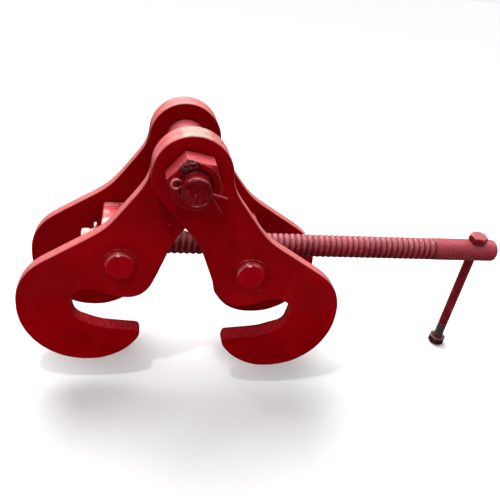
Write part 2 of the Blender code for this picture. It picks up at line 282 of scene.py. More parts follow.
class Tree:
    """Nodes of a material or world; lengths are in metres."""

    def __init__(self, owner):
        self.owner = owner
        owner.use_nodes = True
        self.nodes = owner.node_tree.nodes

    def feed(self, socket, value):
        """Links a Value to a socket, or sets the socket to a number, colour or vector."""
        if isinstance(value, Value):
            self.owner.node_tree.links.new(value.socket, socket)
        elif socket.type == "RGBA":
            socket.default_value = (*value, 1.0)
        else:
            socket.default_value = value

    def node(self, kind, inputs=(), **settings):
        node = self.nodes.new("ShaderNode" + kind)
        for key, value in settings.items():
            setattr(node, key, value)
        for key, value in dict(inputs).items():
            self.feed(node.inputs[key], value)
        return node

    def add(self, kind, output, inputs=(), **settings):
        """Adds a node and returns one of its outputs."""
        return Value(self, self.node(kind, inputs, **settings).outputs[output])

    @cached_property
    def position(self):
        return self.add("TexCoord", "Object")

    @cached_property
    def normal(self):
        return self.add("NewGeometry", "Normal")

    def split(self, vector):
        return [Value(self, part) for part in self.node("SeparateXYZ", {0: vector}).outputs]

    def place(self):
        """The x, y and z of the shaded point."""
        return self.split(self.position)

    def math(self, operation, first, second, clamp=False):
        inputs = {0: first, 1: second, 2: 0.0}
        return self.add("Math", 0, inputs, operation=operation, use_clamp=clamp)

    def noise(self, scale, detail=3.0, rough=0.55, stretch=None, shift=None, distort=0.0):
        vector = self.position
        if stretch or shift:
            vector = self.add("Mapping", "Vector", {
                "Vector": vector, "Scale": stretch or (1, 1, 1), "Location": shift or (0, 0, 0)})
        return self.add("TexNoise", "Fac", {
            "Vector": vector, "Scale": scale, "Detail": detail, "Roughness": rough,
            "Distortion": distort})

    def bump(self, height, strength, distance, normal=None):
        inputs = {"Height": height, "Strength": strength, "Distance": distance}
        if normal is not None:
            inputs["Normal"] = normal
        return self.add("Bump", "Normal", inputs)

    def edge_mask(self, radius):
        """1 where the surface turns sharply within radius, else 0; and the rounded normal."""
        bevel = self.add("Bevel", 0, {"Radius": radius}, samples=4)
        inputs = {0: bevel, 1: self.normal}
        agreement = self.add("VectorMath", "Value", inputs, operation="DOT_PRODUCT")
        return agreement.ramp(0.995, 0.80), bevel

    def crevice_shade(self):
        """Amount of painted shade in narrow places, from ambient occlusion, up to 0.6."""
        open_air = self.add("AmbientOcclusion", "AO", {"Distance": 0.004}, samples=6)
        return open_air.ramp(0.2, 0.8, to=(0.6, 0.0))

    def coat(self, amount, colour):
        """Lays a colour over the one so far."""
        self.colour = amount.mix(self.colour, colour)

    def finish(self, roughness, specular_tint, specular_level, normal):
        shader = self.nodes["Principled BSDF"]
        for name, value in (("Base Color", self.colour), ("Roughness", roughness),
                            ("Specular Tint", specular_tint),
                            ("Specular IOR Level", specular_level), ("Normal", normal)):
            self.feed(shader.inputs[name], value)
        return self.owner


# ---- enamel ----------------------------------------------------------------------
CRIMSON = (0.42, 0.0006, 0.0048)
DEEP = (0.31, 0.0003, 0.0028)
PINKISH = (0.50, 0.012, 0.03)
PAINTED_SHADE = (0.05, 0.002, 0.003)
GRAIN = (0.035, 0.002, 0.003)
BARE_EDGE_HIGHLIGHT = (0.80, 0.27, 0.27)
CHIPPED = (0.62, 0.40, 0.36)
SIDE_TINT = (1.0, 0.04, 0.08)  # of the reflections on upright and downward faces


def enamel(name, base=CRIMSON, deep=DEEP, haze=PINKISH, haze_amount=0.10,
           dust_and_toplight=(0.76, 0.195, 0.192), top_dust_and_light=0.75, dust_and_light_slope=(0.12, 0.80), dust_and_light_zone=None,
           clean_and_shaded_below=None, under_shade=0.45, speckle=0.0, edge_wear_highlight=0.5, chips=0.4, rough=0.30,
           bump=0.5, pale_slope=(-0.05, 0.55), tint=(1.0, 0.74, 0.76), face_gloss=0.06,
           gloss=0.62, patches=()):
    """Enamel whose colour drifts, chalky on upward faces with painted top light, worn on its
    edges with painted edge highlights, lumpy and chipped, with painted shade underneath and in
    narrow places.

    The slopes are the upward parts of the normal between which chalk and painted top light
    build up, and between which reflections go from SIDE_TINT at face_gloss to tint at gloss.
    There is little chalk and painted top light below the height clean_and_shaded_below, which
    stands as painted shade low down. patches holds (mask function, colour, strength); a mask
    takes the tree and the upward part of the normal.
    """
    tree = Tree(bpy.data.materials.new(name))
    drift = tree.noise(22.0, detail=4.0, rough=0.6)
    mottle = tree.noise(95.0, detail=5.0, rough=0.65, distort=0.6)
    fine = tree.noise(620.0, rough=0.6)
    tree.colour = drift.ease(0.35, 0.68).mix(deep, base)
    tree.coat(mottle.ease(0.48, 0.78) * haze_amount, haze)
    if speckle:
        grain = tree.noise(1500.0, detail=2.0, rough=0.7)
        tree.coat(grain.ramp(0.35, 0.62, to=(speckle, 0.0)), GRAIN)
    up = tree.split(tree.normal)[Z]
    # painted shade underneath and in narrow places
    tree.coat(up.ease(-0.1, -0.9, to=(0.0, under_shade)), PAINTED_SHADE)
    tree.coat(tree.crevice_shade(), PAINTED_SHADE)
    # chalky dust with painted top light on upward faces, mottled and gritty
    settled_and_lit = up.ease(*dust_and_light_slope)
    pale = up.ease(*pale_slope)
    dusty_and_lit = settled_and_lit * mottle.ramp(0.28, 0.68, to=(0.72 * top_dust_and_light, top_dust_and_light * 1.12))
    dusty_and_lit = dusty_and_lit * tree.noise(900.0, rough=0.75).ramp(0.30, 0.55, to=(0.80, 1.0))
    dull = 0.0
    if clean_and_shaded_below is not None:
        # little chalk and painted top light below this height, which stands as painted shade low
        # down
        height = tree.place()[Z]
        dust_and_light_share = height.ease(clean_and_shaded_below - 0.012, clean_and_shaded_below + 0.006, to=(0.06, 1.0))
        dusty_and_lit = dusty_and_lit * dust_and_light_share
        pale = pale * dust_and_light_share
        # added roughness low down, on all but downward faces
        dull = (1.0 - dust_and_light_share) * up.ease(-0.25, -0.05, to=(0.0, 0.32))
    if dust_and_light_zone is not None:
        dusty_and_lit = dusty_and_lit * dust_and_light_zone(tree)
    tree.coat(dusty_and_lit.math("MINIMUM", 0.97), dust_and_toplight)
    # broken wear along edges, mostly those that face up, so it also stands as painted edge
    # highlights
    edge, rounded = tree.edge_mask(0.0011)
    lit_edge = up.ease(-0.05, 0.5, to=(0.02, 1.0))
    broken = tree.noise(240.0, detail=4.0, rough=0.7).ramp(0.42, 0.64, to=(0.0, edge_wear_highlight))
    worn_lit_edge = edge.math("MULTIPLY", broken, clamp=True) * lit_edge
    tree.coat(worn_lit_edge, BARE_EDGE_HIGHLIGHT)
    # small sparse chips
    chip_noise = tree.noise(330.0, detail=2.0, rough=0.5)
    chip = chip_noise.ramp(0.735, 0.765) * mottle.ramp(0.5, 0.62) * chips
    tree.coat(chip, CHIPPED)
    # dust with its painted top light, worn edges and patches are rougher than the paint
    roughness = mottle.ramp(0.3, 0.8, to=(rough - 0.06, rough + 0.12))
    roughness = roughness + dusty_and_lit * 0.20 + worn_lit_edge * 0.15 + dull
    for mask, colour, strength in patches:
        amount = mask(tree, up) * strength
        tree.coat(amount, colour)
        roughness = roughness + amount * 0.14
    tree.nodes["Principled BSDF"].inputs["IOR"].default_value = 1.5
    level = pale.ramp(0.0, 1.0, to=(face_gloss, gloss))
    if clean_and_shaded_below is not None:
        level = level * dust_and_light_share.math("MAXIMUM", up.ramp(-0.05, -0.25))
    # broad lumps, then fine texture with sunken chips
    lumps = tree.noise(60.0, rough=0.5) * 0.8 + mottle * 0.35
    lumpy = tree.bump(lumps, strength=0.35 * bump, distance=0.0012, normal=rounded)
    textured = tree.bump(fine + chip * -1.5, strength=0.30 * bump, distance=0.00025,
                         normal=lumpy)
    return tree.finish(roughness, pale.mix(SIDE_TINT, tint), level, textured)


ALL = (None, None)


def ragged_box(x=ALL, y=ALL, z=ALL, soft=2.0, scale=130.0, grain=(0.38, 0.58),
               stretch=(1, 1, 1), up_only=True):
    """Mask of a ragged patch inside a box in millimetres, with sides soft on each hand.

    scale, stretch and the thresholds in grain shape the noise that breaks it up."""
    def mask(tree, up):
        place = tree.place()
        amount = tree.noise(scale, detail=5.0, rough=0.7, stretch=stretch).ease(*grain)
        for part, (low, high) in zip(place, (x, y, z)):
            if low is not None:
                amount = amount * part.ease((low - soft) * MM, (low + soft) * MM)
            if high is not None:
                amount = amount * part.ease((high + soft) * MM, (high - soft) * MM)
        if up_only:
            amount = amount * up.ease(0.45, 0.8)
        return amount
    return mask


# ---- jaw plates ------------------------------------------------------------------
LOBE = 34.0                    # radius of the lobe round the load bolt
# Right jaw seen from the front, clockwise: x, z, corner radius, 1 where the cut flows freely
CORNERS = [
    (LOBE, LOBE, LOBE, 0), (LOBE, -9.0, 27.0, 1), (70.0, -57.0, 60.0, 1),
    (148.0, -105.0, 46.0, 1), (148.0, -197.5, 61.0, 1), (73.0, -197.5, 34.0, 1),
    (51.0, -187.5, 38.0, 1), (39.0, -172.5, 18.0, 0), (37.4, -162.3, 4.6, 0),
    (76.0, -158.3, 50.0, 0), (97.5, -148.0, 14.0, 0), (102.0, -127.0, 8.5, 0),
    (88.0, -116.5, 9.0, 1), (56.0, -128.0, 30.0, 1), (34.0, -127.0, 22.0, 1),
    (10.0, -64.0, 30.0, 1), (-LOBE, -14.0, 30.0, 0), (-LOBE, LOBE, LOBE, 0),
]
ARC_STEP = 0.7                 # spacing of points on the corner arcs
EVEN_STEP = 1.0                # spacing of the points that are smoothed
TIGHT_BLUR, FREE_BLUR, BLEND_BLUR = 0.8, 6.5, 5.0
MAX_GAP = 5.0                  # a point is kept after this distance...
MAX_TURN = math.radians(3.2)   # ...or this turn
PLATE_EDGE = 1.3               # radius of the rounded outer edges
BORE_EDGE = [(0.0, 0.55), (0.16, 0.16), (0.55, 0.0)]    # depth, growth in radius
BORE_SEGMENTS = 72
NOSE_WEAR = 2.6                # how far the right rear hook's nose is worn back


def eased_outline(corners):
    """Filleted polygon smoothed into one flowing cut, as (point, outward normal) pairs."""
    arcs, freedom = [], []
    for i, (x, z, radius, free) in enumerate(corners):
        corner = Vector((x, z))
        to_last = (Vector(corners[i - 1][:2]) - corner).normalized()
        to_next = (Vector(corners[(i + 1) % len(corners)][:2]) - corner).normalized()
        opening = math.acos(max(-1.0, min(1.0, to_last.dot(to_next))))
        centre = corner + (to_last + to_next).normalized() * (radius / math.sin(opening / 2))
        start = corner + to_last * (radius / math.tan(opening / 2)) - centre
        end = corner + to_next * (radius / math.tan(opening / 2)) - centre
        angle = math.atan2(start.y, start.x)
        sweep = (math.atan2(end.y, end.x) - angle + math.pi) % (2 * math.pi) - math.pi
        steps = max(4, round(abs(sweep) * radius / ARC_STEP))
        for j in range(steps + 1):
            t = angle + sweep * j / steps
            arcs.append((centre.x + radius * math.cos(t), centre.y + radius * math.sin(t)))
            freedom.append(float(free))
    arcs.append(arcs[0])
    freedom.append(freedom[0])
    arcs = np.array(arcs)
    travel = np.concatenate([[0], np.cumsum(np.hypot(*(arcs[1:] - arcs[:-1]).T))])
    count = int(travel[-1] / EVEN_STEP)
    even = np.arange(count) * travel[-1] / count
    frequency = np.fft.fftfreq(count, d=travel[-1] / count)

    def resampled(values):
        return np.interp(even, travel, values)

    def blurred(values, sigma):
        gain = np.exp(-2 * (math.pi * frequency * sigma) ** 2)
        return np.real(np.fft.ifft(np.fft.fft(values) * gain))

    columns = [resampled(arcs[:, 0]), resampled(arcs[:, 1])]
    weight = np.clip(blurred(resampled(freedom), BLEND_BLUR), 0, 1)[:, None]
    tight, free = (np.stack([blurred(column, sigma) for column in columns], 1)
                   for sigma in (TIGHT_BLUR, FREE_BLUR))
    points = tight * (1 - weight) + free * weight
    tangents = np.roll(points, -1, 0) - np.roll(points, 1, 0)
    tangents /= np.hypot(*tangents.T)[:, None]
    normals = np.stack([-tangents[:, 1], tangents[:, 0]], 1)
    kept = [0]
    for i in range(1, count):
        last = kept[-1]
        if (math.dist(points[i], points[last]) > MAX_GAP
                or float(np.dot(tangents[i], tangents[last])) < math.cos(MAX_TURN)):
            kept.append(i)
    return list(zip(points[kept].tolist(), normals[kept].tolist()))


OUTLINE = eased_outline(CORNERS)


def jaw_plate(node, side, seed, lip_fall, worn_nose):
    """Flame-cut plate with uneven rounded edges and two bores.

    lip_fall is how much the top of the lip drops from the rear face to the front one."""
    front, rear = span(node, Y)
    mirror = 1 if side == "right" else -1
    edge = quarter_round(PLATE_EDGE, 4)
    profile = [(front + along, inset) for along, inset in edge]
    profile += [(front + (rear - front) * share, 0.0) for share in (0.35, 0.65)]
    profile += [(rear - along, inset) for along, inset in reversed(edge)]

    def moved(x, z, across, up, y, inset):
        """Point of the outline (its normal is across, up) as it stands at depth y."""
        wobble = 0.0
        if inset < PLATE_EDGE * 0.9:
            wobble = (0.22 * noise.noise(Vector((x * 0.055 + seed, z * 0.055, y * 0.03)))
                      + 0.06 * noise.noise(Vector((x * 0.4 + seed, z * 0.4, y * 0.12)))
                      - 0.28)
            wobble = min(wobble, 0.0) * (1 - inset / PLATE_EDGE)
        new_x = x - across * inset + across * wobble
        new_z = z - up * inset + up * wobble
        if worn_nose and z < -140.0 and x < 62.0:
            share = min(1.0, (62.0 - x) / 22.0)
            new_x += NOSE_WEAR * share * share * (3 - 2 * share)
        if lip_fall and up > 0.2 and z < -144.0 and x < 100.0:
            share = min(1.0, (up - 0.2) / 0.5) * min(1.0, (100.0 - x) / 18.0)
            new_z += lip_fall * share * ((y - front) / (rear - front) - 0.35)
        return mirror * new_x, y, new_z

    def bore(centre_x, centre_z, radius):
        stations = [(front + depth, radius + growth) for depth, growth in BORE_EDGE]
        stations += [(rear - depth, radius + growth) for depth, growth in reversed(BORE_EDGE)]
        angles = [2 * math.pi * i / BORE_SEGMENTS for i in range(BORE_SEGMENTS)]
        return [[(mirror * (centre_x + reach * math.cos(t)), y, centre_z + reach * math.sin(t))
                 for t in angles] for y, reach in stations]

    bm = bmesh.new()
    rim = [[moved(*point, *normal, y, inset) for point, normal in OUTLINE]
           for y, inset in profile]
    walls = [skin(bm, rings, "open") for rings in (
        rim, bore(0.0, 0.0, BOLT_R + 0.35), bore(TRUNNION_X, SPINDLE_Z, JOURNAL_R + 0.32))]
    for end, facing in ((0, (0, -1, 0)), (-1, (0, 1, 0))):
        edges = []
        for wall in walls:
            loop = wall[end]
            edges += [bm.edges.get((vert, loop[(i + 1) % len(loop)]))
                      for i, vert in enumerate(loop)]
        bmesh.ops.triangle_fill(bm, edges=edges, use_beauty=True, normal=facing)
    return add_piece(node, bm, f"{side}_jaw", sharp=40.0)


def bolt_shade(tree, up):
    """Painted shade: darker upright faces round the load bolt."""
    x, _, z = tree.place()
    near = z.ease(-0.100, -0.030) * abs(x).ease(0.085, 0.035)
    return near * up.ramp(0.3, 0.1) * tree.noise(34.0).ramp(0.3, 0.7, to=(0.5, 1.0))


def rear_shade(tree, up):
    """Darker upright faces on the rear pair of plates."""
    y = tree.place()[Y]
    return y.ramp((MID_Y - 5.0) * MM, (MID_Y + 5.0) * MM) * up.ramp(0.35, 0.1)


def lip_grain(tree, up):
    """Fine dark pitting on the upward faces inside the hooks."""
    inside = tree.place()[Z].ramp(-0.138, -0.143) * up.ramp(0.25, 0.5)
    return inside * tree.noise(1400.0, detail=2.0, rough=0.7).ease(0.42, 0.58, to=(1.0, 0.0))


def lip_spark(tree, up):
    """Bright specks among the pitting, fewer on the right hook."""
    x, _, z = tree.place()
    inside = z.ramp(-0.140, -0.145) * up.ramp(0.3, 0.55)
    inside = inside * x.ramp(0.0, -0.03, to=(0.35, 1.0))
    specks = tree.noise(1200.0, detail=2.0, rough=0.7, shift=(3.3, 0, 0))
    return inside * specks.ease(0.56, 0.66)


plate_enamel = enamel(
    "jaw_enamel_crimson", clean_and_shaded_below=-0.128, dust_and_light_slope=(-0.02, 0.46), under_shade=0.82,
    patches=(
        (rear_shade, (0.17, 0.0003, 0.0018), 0.50),
        (bolt_shade, (0.20, 0.0003, 0.0025), 0.55),
        (lip_grain, (0.09, 0.001, 0.004), 0.6),
        (lip_spark, (0.75, 0.10, 0.15), 0.8),
        # rubbed top of the lobes: a broad bare patch, pale specks, dark streaks
        (ragged_box(x=(-10.0, 12.0), y=(None, MID_Y), z=(26.0, None), soft=2.5, scale=120.0,
                    grain=(0.26, 0.44), stretch=(1.0, 0.45, 1.0)), (0.52, 0.36, 0.285), 0.95),
        (ragged_box(x=(-22.0, 24.0), z=(22.0, None), soft=5.0, scale=420.0,
                    grain=(0.52, 0.62), stretch=(1.0, 0.6, 1.0)), (0.62, 0.42, 0.36), 0.6),
        (ragged_box(x=(-14.0, 22.0), y=(None, MID_Y), z=(24.0, None), soft=3.0, scale=380.0,
                    grain=(0.52, 0.60), stretch=(0.35, 1.8, 1.0)), (0.17, 0.10, 0.075), 0.8),
    ))
PLATES = [  # side, end, fall of the lip, worn nose
    ("right", "front", 4.2, False), ("right", "rear", 0.0, True),
    ("left", "front", 1.6, False), ("left", "rear", 0.0, False),
]
for i, (side, end, lip_fall, worn_nose) in enumerate(PLATES):
    plate = jaw_plate(f"{side}_jaw_{end}_plate", side, seed=3.1 + 7.7 * i,
                      lip_fall=lip_fall, worn_nose=worn_nose)
    put(plate, plate_enamel)

# ---- load bolt -------------------------------------------------------------------
BOLT_FRONT, HEAD_REAR = span("load_bolt", Y)
NUT_FRONT, NUT_REAR = span("load_bolt_nut", Y)
HEAD_FRONT = span("left_jaw_rear_plate", Y)[1] + GAP
END_ROUND = 1.7                # radius of the front end's edge
PIN_Y = BOLT_FRONT + 6.2
PIN_HOLE_R = 2.6
PIN_TILT = math.radians(-16.0)
PIN_ALONG = Vector((math.cos(PIN_TILT), 0, math.sin(PIN_TILT)))
PIN_ACROSS = Vector((-math.sin(PIN_TILT), 0, math.cos(PIN_TILT)))


def load_bolt():
    """Bolt with a rounded front end, a groove before the nut and a hexagon head at the rear."""
    stations = [(BOLT_FRONT + 0.35, 3.0), (BOLT_FRONT + 0.25, 9.4), (BOLT_FRONT, 9.9)]
    stations += [(BOLT_FRONT + END_ROUND * (1 - math.cos(t)),
                  BOLT_END_R - END_ROUND + END_ROUND * math.sin(t))
                 for t in np.radians([10, 30, 50, 70, 90])]
    stations += [
        (NUT_FRONT - 2.6, BOLT_END_R), (NUT_FRONT - 1.6, BOLT_END_R - 0.7),
        (NUT_FRONT - 0.9, BOLT_END_R - 0.1), (NUT_FRONT - 0.4, BOLT_END_R + 0.25),
        (NUT_FRONT + 0.2, BOLT_END_R + 0.3), (NUT_FRONT + 1.2, BOLT_R),
        (HEAD_FRONT - 0.6, BOLT_R), (HEAD_FRONT, BOLT_R + 0.2),
        (HEAD_FRONT + 0.05, NUT_FLATS / 2 - 0.9), (HEAD_FRONT + 0.7, NUT_FLATS / 2 - 0.4)]
    stations += hexagon(HEAD_FRONT + 0.7, HEAD_REAR, NUT_FLATS,
                        end_radius=NUT_FLATS / 2 - 0.9, depth=3.2)
    stations.append((HEAD_REAR, NUT_FLATS / 2 - 2.0))
    bm = turned(stations, Y, segments=120, turn=math.radians(15))
    return add_piece("load_bolt", bm, "load_bolt_group", sharp=42.0, holes=[
        ("cut_bolt_pin", PIN_HOLE_R, 60, (0, PIN_Y, 0), PIN_ALONG, 32)])


def end_rim_highlight(tree, up):
    """Painted highlight: ragged bright rim round the front end, strongest at its foot and top.
    """
    x, y, z = tree.place()
    ring = (hypotenuse(x, z).ramp(9.9 * MM, 10.7 * MM)
            * y.ramp((BOLT_FRONT + 2.2) * MM, (BOLT_FRONT + 1.3) * MM))
    foot = x * 0.30 + z * -0.954
    arcs = (foot.ease(8.8 * MM, 10.2 * MM)
            + z.ease(7.5 * MM, 10.5 * MM, to=(0.0, 0.55)))
    return ring * arcs * tree.noise(480.0, rough=0.6).ease(0.42, 0.56, to=(0.15, 1.0))


def end_specks(tree, up):
    """Light specks on the bolt in front of the nut."""
    y = tree.place()[Y]
    front = y.ramp((BOLT_FRONT + 14.0) * MM, (BOLT_FRONT + 11.0) * MM)
    return front * tree.noise(1100.0, detail=2.0, rough=0.6).ease(0.60, 0.68)


put(load_bolt(), enamel(
    "bolt_enamel_crimson", base=(0.27, 0.002, 0.006), deep=(0.17, 0.001, 0.003),
    haze=(0.50, 0.03, 0.05), haze_amount=0.5, dust_and_toplight=(0.50, 0.04, 0.055), top_dust_and_light=0.02,
    dust_and_light_slope=(0.35, 0.80), pale_slope=(0.2, 1.0), tint=(1.0, 0.16, 0.20), gloss=0.42,
    face_gloss=0.25, bump=2.6, edge_wear_highlight=0.12, speckle=0.6, chips=0.8,
    patches=((end_specks, (0.50, 0.07, 0.08), 0.55), (end_rim_highlight, (0.62, 0.22, 0.22), 0.8)),
))

# ---- load bolt's nut -------------------------------------------------------------
LUMP = Vector((-7.0, NUT_FRONT, 18.5))   # middle of the thick paint
LUMP_REACH = 10.5
LUMP_HEIGHT = 0.62


def load_bolt_nut():
    """Hexagon nut, chamfered at both ends, with thick paint on its upper front corner."""
    bore = BOLT_R + 0.35
    flat_front, flat_rear = NUT_FRONT + 3.4, NUT_REAR - 1.6
    chamfer = hexagon(flat_rear, NUT_FRONT, NUT_FLATS,
                      end_radius=NUT_FLATS / 2 - 1.0, depth=3.4, steps=8)
    stations = [(NUT_FRONT + 0.9, bore)]
    stations += [(NUT_FRONT, r) for r in (BOLT_R + 1.3, 15.6, 16.4, 17.2, 18.0, 18.7)]
    stations += chamfer[:0:-1]
    stations += [(flat_front + (flat_rear - flat_front) * share,
                  polygon_radius(6, NUT_FLATS / 2)) for share in (0.25, 0.5, 0.75, 1.0)]
    stations += [(NUT_REAR - 0.8, polygon_radius(6, NUT_FLATS / 2, NUT_FLATS / 2 + 2.0)),
                 (NUT_REAR, polygon_radius(6, NUT_FLATS / 2, NUT_FLATS / 2 + 0.4)),
                 (NUT_REAR, bore)]
    bm = turned(stations, Y, segments=240, ends="join", turn=math.radians(19.6))
    for vert in bm.verts:
        distance = (vert.co - LUMP).length
        if distance < LUMP_REACH and math.hypot(vert.co.x, vert.co.z) > BOLT_R + 0.8:
            weight = (1 - distance / LUMP_REACH) ** 0.7
            height = 0.35 + noise.noise(vert.co * 0.5) + 0.7 * noise.noise(vert.co * 1.2)
            outward = Vector((vert.co.x * 0.4, -9.0, vert.co.z * 0.4)).normalized()
            vert.co += outward * (LUMP_HEIGHT * weight * height)
    return add_piece("load_bolt_nut", bm, "load_bolt_group", sharp=24.0)


def lump_zone(tree, radius):
    """Ragged ball round the thick paint."""
    centre = tuple(LUMP * MM + Vector((0.001, 0, -0.001)))
    distance = tree.add("VectorMath", "Value", {0: tree.position, 1: centre},
                        operation="DISTANCE")
    ragged = distance + tree.noise(220.0) * 0.004
    return ragged.ease((radius + 2.5) * MM, radius * MM)


def lump_dark(tree, up):
    """Dark ground of the thick paint on forward faces."""
    return lump_zone(tree, 9.0) * tree.split(tree.normal)[Y].ease(-0.30, -0.6)


def lump_glints(tree, up):
    # painted highlights: bright specks on the thick paint
    spots = tree.noise(980.0, rough=0.65, distort=0.8).ease(0.57, 0.66)
    return lump_zone(tree, 7.5) * spots


def nut_grain(tree, up):
    """Fine dark grain in the chalky upper flats."""
    return tree.noise(1150.0, detail=2.0, rough=0.65).ease(0.50, 0.40) * up.ramp(0.3, 0.5)


def nut_rear(tree, up):
    """The upper flats are darker towards the plate."""
    y = tree.place()[Y]
    return y.ease((NUT_FRONT + 8.0) * MM, (NUT_REAR + 1.0) * MM) * up.ramp(0.3, 0.5)


def nut_rim(tree, up):
    """Bright ragged line where the upper flats meet the front chamfer, on edges that face up."""
    y = tree.place()[Y]
    edge, _ = tree.edge_mask(0.0012)
    line = edge * y.ramp((NUT_FRONT + 6.0) * MM, (NUT_FRONT + 4.5) * MM)
    line = line * up.ease(0.0, 0.35)
    return line * tree.noise(300.0, rough=0.6).ease(0.34, 0.52, to=(0.1, 1.0))


put(load_bolt_nut(), enamel(
    "nut_enamel_crimson", base=(0.36, 0.002, 0.008), deep=(0.25, 0.001, 0.004),
    haze=(0.55, 0.03, 0.05), haze_amount=0.3, dust_and_toplight=(0.68, 0.10, 0.115),
    dust_and_light_slope=(0.42, 0.78), pale_slope=(0.40, 0.80), bump=1.0, edge_wear_highlight=1.0, speckle=0.25,
    patches=(
        (nut_rear, (0.24, 0.006, 0.012), 0.62), (nut_grain, (0.30, 0.012, 0.020), 0.42),
        (nut_rim, (0.86, 0.34, 0.34), 0.75), (lump_dark, (0.075, 0.004, 0.006), 0.85),
        (lump_glints, (0.62, 0.30, 0.30), 0.75),
    )))

# ---- split pins ------------------------------------------------------------------
WIRE_R = 1.35
WIRE_OFFSET = 0.16             # of each half's flat from the pin's middle line
ARC_POINTS = 9                 # on the round side of the wire
SPINDLE_PIN_X = middle("spindle_split_pin", X)


def split_pin(node, body, origin, along, across, half, eye_r, upper_tip, lower_tip):
    """Split pin bent from half-round wire, with a round eye and splayed legs.

    Its path is in (along, across) from origin; the shank runs from -half to half."""
    def leg(tip, side, bow):
        root = side * (WIRE_OFFSET + 0.15)
        return [(half + 1.0 + (tip[0] - half - 1.0) * share,
                 root + (tip[1] - root) * share + side * bow * math.sin(math.pi * share))
                for share in (0.25, 0.5, 0.75)]

    lead = math.asin(min(0.9, (WIRE_OFFSET + 0.6) / eye_r))
    eye_centre = -half - eye_r * math.cos(lead) - 0.3
    shank = [(half + 1.0, WIRE_OFFSET + 0.15), (half - 0.6, WIRE_OFFSET)]
    shank += [(half * share, WIRE_OFFSET) for share in (0.5, 0.0, -0.5)]
    shank.append((-half + 0.6, WIRE_OFFSET))
    path = [upper_tip] + leg(upper_tip, 1, bow=0.25)[::-1] + shank
    for i in range(29):
        angle = lead + (2 * math.pi - 2 * lead) * i / 28
        path.append((eye_centre + eye_r * math.cos(angle), eye_r * math.sin(angle)))
    path += [(place, -offset) for place, offset in reversed(shank)]
    path += leg(lower_tip, -1, bow=0.2) + [lower_tip]

    points = [Vector(point) for point in path]
    last = len(points) - 1
    binormal = along.cross(across).normalized()
    rings = []
    for i, point in enumerate(points):
        tangent = (points[min(i + 1, last)] - points[max(i - 1, 0)]).normalized()
        centre = origin + along * point.x + across * point.y
        # away from the other half
        outward = along * tangent.y + across * -tangent.x
        radius = WIRE_R * (0.72 if i in (0, last) else 1.0)
        section = []
        for j in range(ARC_POINTS):
            angle = -math.pi / 2 + math.pi * j / (ARC_POINTS - 1)
            section.append((math.cos(angle) * radius, math.sin(angle) * radius))
        section += [(-0.02, 0.6 * radius), (-0.02, -0.6 * radius)]
        rings.append([centre + outward * out + binormal * side for out, side in section])
    bm = bmesh.new()
    skin(bm, rings, "cap")
    return add_piece(node, bm, body, sharp=50.0, weighted=False)


pin_enamel = enamel(
    "pin_enamel_pink", base=(0.36, 0.012, 0.02), deep=(0.20, 0.006, 0.01),
    haze=(0.55, 0.10, 0.10), haze_amount=0.5, dust_and_toplight=(0.62, 0.11, 0.12), top_dust_and_light=0.42,
    rough=0.38, bump=0.8, tint=(1.0, 0.35, 0.38), gloss=0.38,
    patches=(  # eye of the load bolt's pin, then top of the spindle's pin
        (ragged_box(x=(-24.0, -14.5), z=(-9.0, None), soft=1.0, scale=300.0,
                    grain=(0.2, 0.5), up_only=False), (0.62, 0.24, 0.25), 0.75),
        (ragged_box(x=(None, -80.0), z=(SPINDLE_Z + 8.0, None), soft=1.0, scale=300.0,
                    grain=(0.1, 0.4), up_only=False), (0.92, 0.80, 0.75), 0.95),
    ))
put(split_pin("load_bolt_split_pin", "load_bolt_group", origin=Vector((0, PIN_Y, 0)),
              along=PIN_ALONG, across=PIN_ACROSS, half=BOLT_END_R + 0.6, eye_r=3.3,
              upper_tip=(25.6, 0.5), lower_tip=(26.0, -12.0)), pin_enamel)
put(split_pin("spindle_split_pin", "spindle_group",
              origin=Vector((SPINDLE_PIN_X, MID_Y, SPINDLE_Z)), along=Vector((0, 0, -1)),
              across=Vector((0, 1, 0)), half=STUB_R + 0.4, eye_r=2.7,
              upper_tip=(18.4, 4.6), lower_tip=(17.8, -5.4)), pin_enamel)


# ---- load sleeve -----------------------------------------------------------------
SLEEVE_BORE_R = 13.8
SLEEVE_EDGE = 1.6


def load_sleeve():
    """Tube with rounded ends, slightly waisted and uneven."""
    front, rear = span("load_sleeve", Y)
    edge = quarter_round(SLEEVE_EDGE, 5)
    stations = [(front, SLEEVE_BORE_R)]
    stations += [(front + along, SLEEVE_R - inset) for along, inset in edge]
    stations += [(front + (rear - front) * k / 24, SLEEVE_R) for k in range(1, 24)]
    stations += [(rear - along, SLEEVE_R - inset) for along, inset in reversed(edge)]
    stations.append((rear, SLEEVE_BORE_R))
    bm = turned(stations, Y, segments=96, ends="join")
    for vert in bm.verts:
        x, y, z = vert.co
        if math.hypot(x, z) > SLEEVE_R - 0.05:
            shrink = 1 - 0.010 * max(0.0, 1 - abs(y - MID_Y) / 24.0)
            bumps = noise.noise(Vector((x * 0.2, y * 0.35, z * 0.2)))
            shrink -= 0.0035 * (0.5 + 0.5 * bumps)
            vert.co.x *= shrink
            vert.co.z *= shrink
    return add_piece("load_sleeve", bm, "sleeve", sharp=40.0)


put(load_sleeve(), enamel(
    "sleeve_enamel_crimson", haze=(0.6, 0.1, 0.12), haze_amount=0.3,
    dust_and_toplight=(0.44, 0.080, 0.095), rough=0.34,
    patches=(  # rubbed middle
        (ragged_box(y=(MID_Y - 20, MID_Y + 20), soft=6.0, scale=170.0, grain=(0.52, 0.66),
                    stretch=(1, 3.0, 1), up_only=False), (0.42, 0.30, 0.28), 0.5),
    )))

# ---- trunnion blocks -------------------------------------------------------------
END_R = JOURNAL_R - 1.3        # of the journal's domed end
DOME_EDGE = 3.0
LAP_PLACE = 3.7                # depth of the paint lap behind the journal's end
